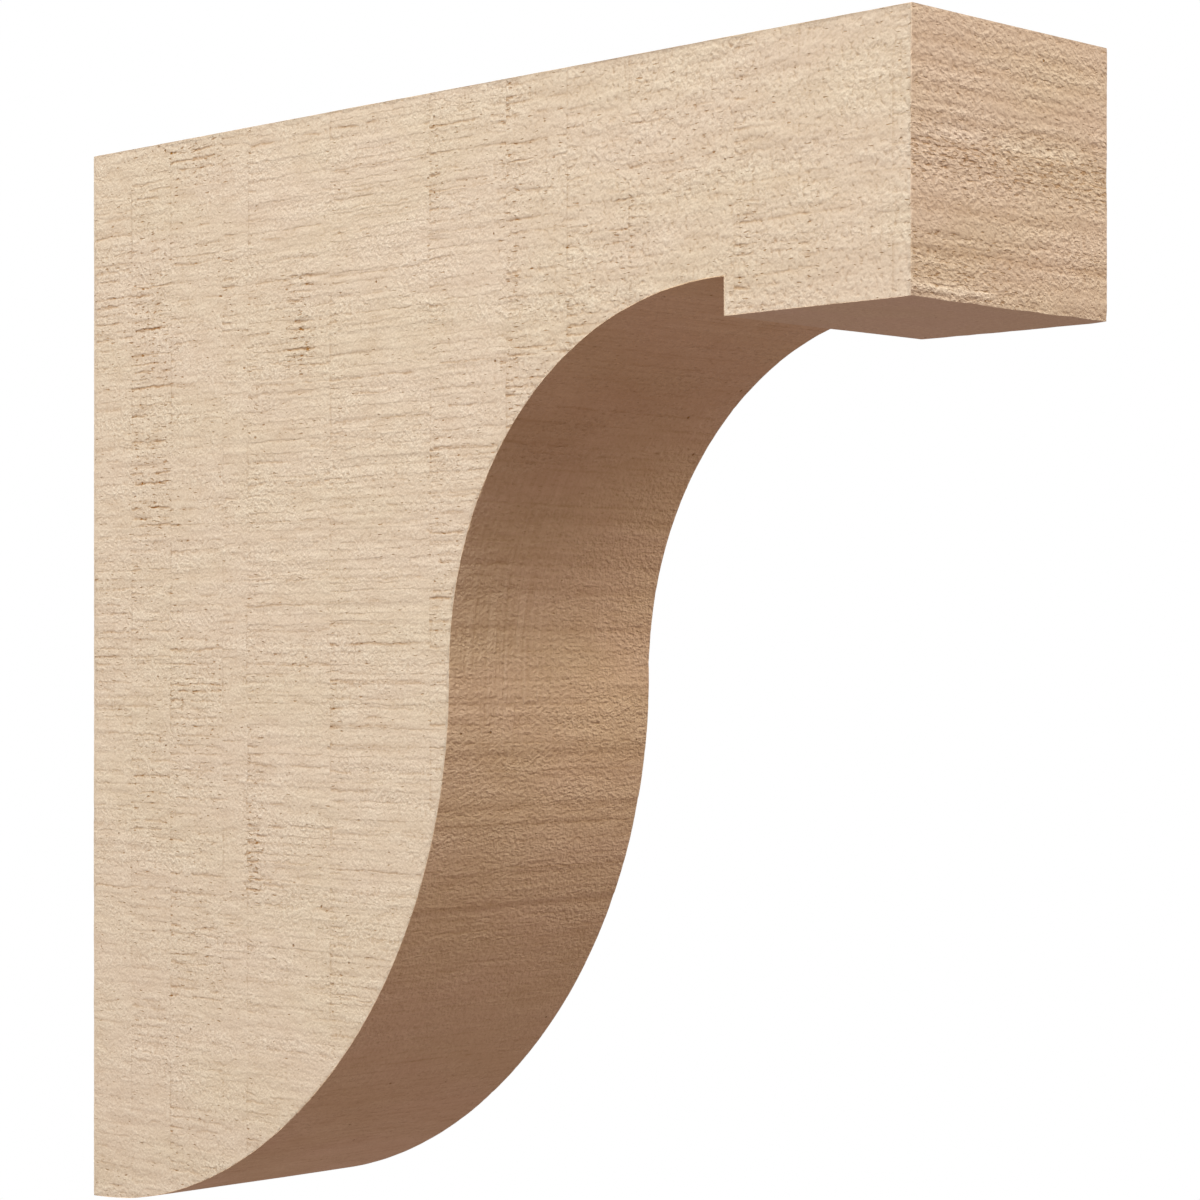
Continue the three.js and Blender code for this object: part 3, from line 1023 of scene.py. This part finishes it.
# %% [markdown]
# ## Grit
# Under the primer the cast surface is gritty, in grains a little longer than they are high. As real
# vertices they would take millions of triangles, so they are noise in the material. The same noise at
# several sizes gives fine grit, granules, lumps and broad unevenness.

# %% Make the grit group
def grit_group():
    """Height of about -0.5 to 0.5 from noise with cells of a length and a breadth."""
    tree, given, out = new_group("grit", ("Grain", "Length", "Breadth"), ("Height",))
    height = cloud(tree, given["Grain"], given["Length"], given["Breadth"], 1.0)
    wire(tree, calc(tree, "SUBTRACT", height, 0.5), out["Height"])
    return tree


grit = grit_group()
print("group:", grit.name)

# %% [markdown]
# ## Grain lines
# Between two saw lines the grain shows as thin dark lines that begin at the saw line and end where
# they like. A Wave texture draws lines too, but all as long and as strong as each other. So a cell
# across the grain holds one line, a chance number sets its place, length and strength, and the panel's
# own number moves all lines of that panel, so panels never line up. The same cells give ribs: between
# two lines the surface leans back a little, as overlapping boards do.

# %% Divide the surface into panels and rows
LINE_SWAY, SWAY_CELL = 1.4 * MM, (14 * MM, 9 * MM)
LINE_JAG, LINE_JAG_CELL = 0.9 * MM, (3 * MM, 2 * MM)
SEED_STEP = 17.0


def panel_cell(tree, given):
    """Panel number, share of the panel passed, cell across the grain, share of the cell passed."""
    across_grain = node(tree, "SeparateXYZ", {0: given["Grain"]})["Y"]
    panel, along = calc(tree, "FLOOR", given["Saw"]), calc(tree, "FRACT", given["Saw"])
    key = calc(tree, "MULTIPLY_ADD", given["Seed"], SEED_STEP, panel)
    shift = node(tree, "TexWhiteNoise", {"W": key}, noise_dimensions="1D")["Value"]
    sway = cloud(tree, given["Grain"], *SWAY_CELL, 2.0)
    jag = cloud(tree, given["Grain"], *LINE_JAG_CELL, 1.0)
    row = calc(tree, "MULTIPLY_ADD", sway, LINE_SWAY, across_grain)
    row = calc(tree, "MULTIPLY_ADD", jag, LINE_JAG, row)
    row = calc(tree, "ADD", calc(tree, "DIVIDE", row, given["Pitch"]), shift)
    return panel, along, calc(tree, "FLOOR", row), calc(tree, "FRACT", row)


print(f"a row strays by up to {(LINE_SWAY + LINE_JAG) / MM:.1f} mm")

# %% Make the grain line group
LINE_PLACE, LINE_LONGER, LINE_END = (0.4, 0.3), 0.8, 0.2
BREAK_CELL, BREAK_LEVELS = (9 * MM, 2.5 * MM), (0.32, 0.58)
RIB_TOP = 0.16
SAW_EDGE, SAW_EDGE_CELL, SAW_EDGE_LEVELS = 0.04, (12 * MM, 30 * MM), (0.42, 0.62)


def grain_line_group():
    """Thin lines, faded and broken by noise, ribs that lean back between them, and saw edges."""
    inputs = ("Grain", "Saw", "Pitch", "Breadth", "Amount", "Reach", "Seed")
    tree, given, out = new_group("grain_lines", inputs, ("Lines", "Ribs", "Edges"))
    panel, along, cell, inside = panel_cell(tree, given)
    key = node(tree, "CombineXYZ", enumerate((panel, cell, given["Seed"])))[0]
    chance = node(tree, "TexWhiteNoise", {"Vector": key}, noise_dimensions="3D")["Color"]
    draws = node(tree, "SeparateColor", {0: chance})

    above = calc(tree, "SUBTRACT", inside, calc(tree, "MULTIPLY_ADD", draws[0], *LINE_PLACE))
    gap = calc(tree, "MULTIPLY", calc(tree, "ABSOLUTE", above), given["Pitch"])
    end = calc(tree, "MULTIPLY_ADD", draws[1], LINE_LONGER, given["Reach"])
    line = fade(tree, gap, given["Breadth"], 0.0)
    shown = fade(tree, along, end, calc(tree, "SUBTRACT", end, LINE_END))
    strength = fade(tree, draws[2], calc(tree, "SUBTRACT", 1.0, given["Amount"]), 1.0)
    broken = fade(tree, cloud(tree, given["Grain"], *BREAK_CELL, 2.0), *BREAK_LEVELS)
    wire(tree, product(tree, line, shown, strength, broken), out["Lines"])

    above = calc(tree, "FRACT", calc(tree, "ADD", above, 1.0))
    below = calc(tree, "SUBTRACT", 1.0, above)
    rise, fall = calc(tree, "DIVIDE", above, RIB_TOP), calc(tree, "DIVIDE", below, 1 - RIB_TOP)
    wire(tree, calc(tree, "MINIMUM", rise, fall), out["Ribs"])

    left = fade(tree, cloud(tree, given["Grain"], *SAW_EDGE_CELL, 2.0), *SAW_EDGE_LEVELS)
    wire(tree, product(tree, fade(tree, along, SAW_EDGE, 0.0), left), out["Edges"])
    return tree


grain_line = grain_line_group()
print("group:", grain_line.name, "with", len(grain_line.nodes), "nodes")

# %% [markdown]
# ## Torn fibres and pinholes
# Torn fibres are short dark nicks, and pinholes are bubbles that the casting left. Most are smaller than
# a cell of the mesh, so they can't be modelled there. Nicks are noise with flat cells, cut off at a
# level. Pinholes are round spots in the cells of a Voronoi pattern, in a share of the cells.

# %% Make the nick and pinhole groups
NICK_LEVEL, NICK_FALL, NICK_SOFT = 0.76, -0.17, 0.09
HOLE_LEAST, HOLE_CORE = 0.4, 0.4


def nick_group():
    """Mask of nicks: flat noise above a level that falls as the surface is more torn."""
    tree, given, out = new_group("nicks", ("Grain", "Length", "Breadth", "Torn"), ("Nicks",))
    height = cloud(tree, given["Grain"], given["Length"], given["Breadth"], 1.0)
    level = calc(tree, "MULTIPLY_ADD", given["Torn"], NICK_FALL, NICK_LEVEL)
    wire(tree, fade(tree, height, level, calc(tree, "ADD", level, NICK_SOFT)), out["Nicks"])
    return tree


def pinhole_group():
    """Mask of round holes: near the middle of a Voronoi cell, where the cell's chance is low."""
    tree, given, out = new_group("pinholes", ("Grain", "Spacing", "Radius", "Share"), ("Holes",))
    spread = stretched(tree, given["Grain"], given["Spacing"], given["Spacing"])
    cells = node(tree, "TexVoronoi", {"Vector": spread, "Scale": 1.0}, voronoi_dimensions="2D")
    away = calc(tree, "MULTIPLY", cells["Distance"], given["Spacing"])
    draws = node(tree, "SeparateColor", {0: cells["Color"]})
    wanted = calc(tree, "LESS_THAN", draws[0], given["Share"])
    size = calc(tree, "MULTIPLY", given["Radius"], calc(tree, "ADD", draws[1], HOLE_LEAST))
    spot = fade(tree, away, size, calc(tree, "MULTIPLY", size, HOLE_CORE))
    wire(tree, product(tree, spot, wanted), out["Holes"])
    return tree


nicks, pinholes = nick_group(), pinhole_group()
print("groups:", nicks.name, pinholes.name)

# %% [markdown]
# ## Masks
# The coat looks different in a tear, on a lump and on a clean strip. Each of these is a mask: the marks
# of the mesh, grit at several sizes, grain lines, nicks and pinholes. Cracks are what lies deep in a
# tear, pits are the hollows between lumps, and the surface is rougher in some strips than in others.
# Every finish could have nodes of its own for this, but named masks serve them all. Sizes are in
# millimetres, and grain lines are given by their pitch, breadth, amount and reach.

# %% Choose the sizes of the masks
GRIT_SIZES = {"strips": (70, 9), "patchy": (22, 13), "broad": (60, 26), "scratches": (1.6, 45)}
STRETCHED_SIZES = {"fine": (1, 0.9), "granules": (1.9, 1.4), "lumps": (2.4, 2.2), "swells": (15, 4.6)}
LINES = {"long": (7.4, 0.8, 1.0, 0.5), "short": (3.7, 0.55, 0.9, 0.5), "tear": (3.3, 0.9, 1.1, 0.8)}
NICK_SIZE = {"Length": 3.6 * MM, "Breadth": 0.9 * MM}
HOLE_SIZE = {"Spacing": 15 * MM, "Radius": 0.5 * MM, "Share": 0.08}

print(f"masks: {len(GRIT_SIZES) + len(STRETCHED_SIZES)} sizes of grit, {len(LINES)} kinds of grain lines")

# %% Gather the masks
CRACK, PIT = (0.20, 0.60), (-0.11, -0.32)
UNEVEN, UNEVEN_LEVELS = ((1.0, "strips"), (0.8, "patchy"), (0.45, "torn")), (-0.2, 0.5)
ROUGH_SPAN, ROUGH_LUMPY = (0.55, 0.66), -0.22


def add_up(tree, masks, terms):
    """Sum of products: each term is a strength and the names of one or more masks."""
    total = 0.0
    for strength, *names in terms:
        total = calc(tree, "MULTIPLY_ADD", product(tree, *(masks[name] for name in names)), strength, total)
    return total


def all_masks(tree, stretch):
    """Every mask by its name, with the finer grit stretched along the grain."""
    grain = node(tree, "UVMap", uv_map="grain")["UV"]

    def use(group, **values):
        """Outputs of a group that is fed the grain map and its own values."""
        return node(tree, "Group", {"Grain": grain, **values}, node_tree=group)

    masks = {name: node(tree, "Attribute", attribute_name=name)["Fac"] for name in MARKS}
    sizes = {name: (stretch * long, high) for name, (long, high) in STRETCHED_SIZES.items()}
    for name, (long, high) in {**GRIT_SIZES, **sizes}.items():
        masks[name] = use(grit, Length=long * MM, Breadth=high * MM)["Height"]
    for seed, (name, (pitch, breadth, amount, reach)) in enumerate(LINES.items(), 1):
        drawn = use(grain_line, Saw=masks["saw"], Pitch=pitch * MM, Breadth=breadth * MM,
                    Amount=amount, Reach=reach, Seed=seed)
        masks.update({f"{name} {kind.lower()}": drawn[kind] for kind in ("Lines", "Ribs", "Edges")})
    masks["nicks"] = use(nicks, Torn=masks["torn"], **NICK_SIZE)["Nicks"]
    masks["holes"] = use(pinholes, **HOLE_SIZE)["Holes"]
    masks["cracks"] = fade(tree, masks["groove"], *CRACK)
    masks["pits"] = fade(tree, masks["lumps"], *PIT)
    rough = fade(tree, add_up(tree, masks, UNEVEN), *UNEVEN_LEVELS)
    rough = calc(tree, "MULTIPLY_ADD", rough, *ROUGH_SPAN)
    masks["rough"] = calc(tree, "MULTIPLY_ADD", masks["lumpy"], ROUGH_LUMPY, rough)
    return masks


print("the rough mask adds up", [name for strength, name in UNEVEN])

# %% [markdown]
# ## The primer
# Primer is a thin matte coat, sprayed on. It is rosier where it lies thick and yellower where the
# foam shows through. Painted shade browns its lines, tears, cracks, nicks, pits and pinholes, and its
# colour is lighter on high grit and darker in the low, painted light and shade of the relief. A picture of
# the coat
# could be wrapped round the mesh, but it would hold one light and one sharpness. So two lists say how
# much a product of masks shades the coat, and by how many millimetres it rises. Each finish gives its
# own strengths: the sawn faces have everything, the plain back little more than grit and pinholes.

# %% List the strengths
# The end and the S-curve are tinted warmer than the sides, partly as painted warm light on the end and
# painted warm shade on the S-curve.
SIDE_TINTS = ((0.667, 0.523, 0.386, 1), (0.660, 0.523, 0.376, 1))
CURVE_TINTS = ((0.700, 0.485, 0.312, 1), (0.690, 0.485, 0.299, 1))
END_TINTS = ((0.698, 0.518, 0.369, 1), (0.688, 0.518, 0.354, 1))
PAINTED_SHADE_COLOUR = (0.33, 0.14, 0.02, 1)
STRENGTHS = ("lined", "grit_painted_shade", "grainy", "stretch", "swollen", "lumped", "scratched", "holed", "nicked")
FINISHES = (
    ("sawn_side_primer", SIDE_TINTS, (0.92, 0.86, 0.66, 0.80, 1.1, 0.5, 0.0, 1.0, 1.0)),
    ("sawn_curve_primer", CURVE_TINTS, (0.8, 0.60, 1.38, 1.12, 1.1, 0.5, 1.0, 1.0, 0.5)),
    ("sawn_end_primer", END_TINTS, (0.25, 0.86, 0.78, 1.08, 0.15, 0.7, 0.0, 1.2, 0.8)),
    ("plain_cast_primer", SIDE_TINTS, (0.15, 0.6, 0.6, 1.0, 1.0, 0.5, 0.0, 1.6, 0.15)),
)
# SHADE is mostly painted light and shade of the relief: the dark rows give lines, tears, cracks, nicks,
# pinholes and pits painted shade, and the grit, lump and swell rows paint high places lighter and low ones
# darker.
SHADE = (
    ("lined", -0.42, "long lines", "lined"), ("lined", -0.19, "short lines", "lined"),
    ("lined", -0.16, "long edges"), ("lined", -0.95, "tear lines", "torn"), ("lined", -0.30, "cracks"),
    ("nicked", -0.55, "nicks"), ("holed", -0.70, "holes"), ("plain", -0.28, "streak"),
    ("scratched", 0.45, "scratches", "lumpy"), ("even", -0.14, "pits", "lumpy"),
    ("grit_painted_shade", 0.40, "fine", "rough"), ("grit_painted_shade", 0.50, "granules", "rough"),
    ("grit_painted_shade", 0.20, "lumps", "rough"), ("plain", 0.10, "lumps", "lumpy"),
    ("swollen", 0.20, "swells"), ("plain", 0.12, "strips"), ("plain", 0.10, "patchy"),
)
RISE = (
    ("lined", 0.07, "long ribs", "lined"), ("lined", 0.075, "short ribs", "lined"),
    ("lined", -0.10, "long lines", "lined"), ("lined", -0.05, "short lines", "lined"),
    ("lined", -0.11, "long edges"), ("lined", -0.45, "tear lines", "torn"),
    ("nicked", -0.20, "nicks"), ("holed", -0.50, "holes"), ("plain", -0.15, "streak"),
    ("scratched", 0.60, "scratches", "lumpy"), ("even", -0.10, "pits", "lumpy"),
    ("grainy", 0.26, "fine", "rough"), ("grainy", 0.43, "granules", "rough"),
    ("grainy", 0.23, "lumps", "rough"), ("lumped", 0.50, "lumps", "lumpy"), ("swollen", 0.34, "swells"),
)

print(f"primer: {len(FINISHES)} finishes, {len(SHADE)} terms of shade and {len(RISE)} of rise")

# %% Paint the primer
TINT_LEVELS = (-0.25, 0.25)
GLOSS, GLOSS_SPAN = 0.25, (0.2, 0.86)


def primer(name, tints, numbers):
    """Matte tan primer: tint by broad noise, painted shade browner in every dip, bump from the same masks.
    """
    material = bpy.data.materials.new(name)
    material.use_nodes = True
    tree = material.node_tree
    coat = tree.nodes["Principled BSDF"].inputs
    strength = dict(zip(STRENGTHS, numbers), plain=1.0)
    strength["even"] = 1 - strength["scratched"]
    masks = all_masks(tree, strength["stretch"])
    shade, rise = (add_up(tree, masks, [(strength[by] * amount, *names) for by, amount, *names in terms])
                   for terms in (SHADE, RISE))
    thick = fade(tree, masks["broad"], *TINT_LEVELS)
    tint = node(tree, "Mix", {0: thick, 6: tints[0], 7: tints[1]}, data_type="RGBA")[2]
    # Where the shade is below 1 it mixes the tint towards the painted shade colour, and above 1 away from
    # it.
    lit = {0: calc(tree, "ADD", shade, 1.0), 6: PAINTED_SHADE_COLOUR, 7: tint}
    wire(tree, node(tree, "Mix", lit, data_type="RGBA", clamp_factor=False)[2], coat["Base Color"])
    bump = node(tree, "Bump", {"Strength": 1.0, "Distance": MM, "Height": rise})[0]
    wire(tree, bump, coat["Normal"])
    wire(tree, calc(tree, "MULTIPLY_ADD", masks["granules"], *GLOSS_SPAN), coat["Roughness"])
    coat["Specular IOR Level"].default_value = GLOSS
    print(f"material {name}: {len(tree.nodes)} nodes")
    return material


for finish in FINISHES:
    casting.data.materials.append(primer(*finish))

# %% [markdown]
# ## Light
# The photograph has plain soft light. A picture of a studio could give it, but separate lights can be
# named and moved. Three round softboxes do it: one at the left for the side, and two higher ones on
# either side of the front, which graze it so that its fibres stand out.

# %% Hang the softboxes
BOX_SIZE, BOX_DISTANCE = 3.4, 4.0
SOFTBOXES = (
    ("side_softbox", 180, 30, (0.884, 0.958, 1.0), 147),
    ("left_softbox", 225, 60, (0.884, 0.958, 1.0), 130),
    ("right_softbox", 315, 45, (1.0, 1.0, 0.955), 130),
)


def softbox(name, azimuth, elevation, colour, power):
    """A round light on a sphere about the bracket, turned to the middle of the bracket."""
    turn, rise = math.radians(azimuth), math.radians(elevation)
    away = (math.cos(rise) * math.cos(turn), math.cos(rise) * math.sin(turn), math.sin(rise))
    light = bpy.data.lights.new(name, "AREA")
    light.shape = "DISK"
    light.size = BOX_SIZE
    light.energy = power
    light.color = colour
    box = bpy.data.objects.new(name, light)
    box.location = (low + high) / 2 + BOX_DISTANCE * np.array(away)
    box.rotation_euler = (math.pi / 2 - rise, 0, turn + math.pi / 2)
    bpy.context.scene.collection.objects.link(box)
    return box


boxes = [softbox(*values) for values in SOFTBOXES]
print("softboxes:", [(box.name, box.data.energy) for box in boxes])

# %% [markdown]
# ## Glow and background
# A dim warm glow from all round, strongest from below, fills the hollow of the S-curve. The background
# is pure white, and a world that white could do both, but it would light the bracket too much from
# behind. So only the camera sees a white world, and the bracket sees the glow.

# %% Surround it with a dim warm glow
SKY_COLOUR, SKY_STRENGTH = (1.0, 0.60, 0.367, 1), 0.15
GROUND_COLOUR, GROUND_STRENGTH = (1.0, 0.783, 0.735, 1), 0.370
WHITE = (1, 1, 1, 1)
HORIZON = 0.2

world = bpy.data.worlds.new("studio")
world.use_nodes = True
bpy.context.scene.world = world
tree = world.node_tree
tree.nodes.clear()
upward = node(tree, "SeparateXYZ", {0: node(tree, "TexCoord")["Generated"]})["Z"]
ground, sky, white = (
    node(tree, "Background", {"Color": colour, "Strength": strength})[0]
    for colour, strength in ((GROUND_COLOUR, GROUND_STRENGTH), (SKY_COLOUR, SKY_STRENGTH), (WHITE, 1))
)
glow = node(tree, "MixShader", {0: fade(tree, upward, -HORIZON, HORIZON), 1: ground, 2: sky})[0]
to_camera = node(tree, "LightPath")["Is Camera Ray"]
node(tree, "OutputWorld", {"Surface": node(tree, "MixShader", {0: to_camera, 1: glow, 2: white})[0]})
bpy.context.scene.view_settings.view_transform = "Standard"
print(f"world: sky {SKY_STRENGTH}, ground {GROUND_STRENGTH}, white to the camera")

# %% [markdown]
# ## Floor
# The bracket hangs on a wall, so the floor lies well below it. A plain grey floor would show a horizon
# and throw light back up. So this one glows white to the camera, like the background, and takes no
# part in the light on the bracket.

# %% Lay the floor
FLOOR_DROP = 1.1
FLOOR_SIZE = 60

floor_mesh = bpy.data.meshes.new("floor")
floor_z = low[2] - FLOOR_DROP
signs = [(-1, -1), (1, -1), (1, 1), (-1, 1)]
corners = [(x * FLOOR_SIZE, y * FLOOR_SIZE, floor_z) for x, y in signs]
floor_mesh.from_pydata(corners, [], [(0, 1, 2, 3)])
floor = bpy.data.objects.new("floor", floor_mesh)
bpy.context.scene.collection.objects.link(floor)
pale = bpy.data.materials.new("pale_floor")
pale.use_nodes = True
coat = pale.node_tree.nodes["Principled BSDF"]
coat.inputs["Base Color"].default_value = (0, 0, 0, 1)
coat.inputs["Emission Color"].default_value = WHITE
coat.inputs["Emission Strength"].default_value = 1.0
coat.inputs["Specular IOR Level"].default_value = 0.0
floor_mesh.materials.append(pale)
floor.visible_diffuse = False
floor.visible_glossy = False
floor.visible_shadow = False
print(f"floor: {FLOOR_DROP} m below the foot")
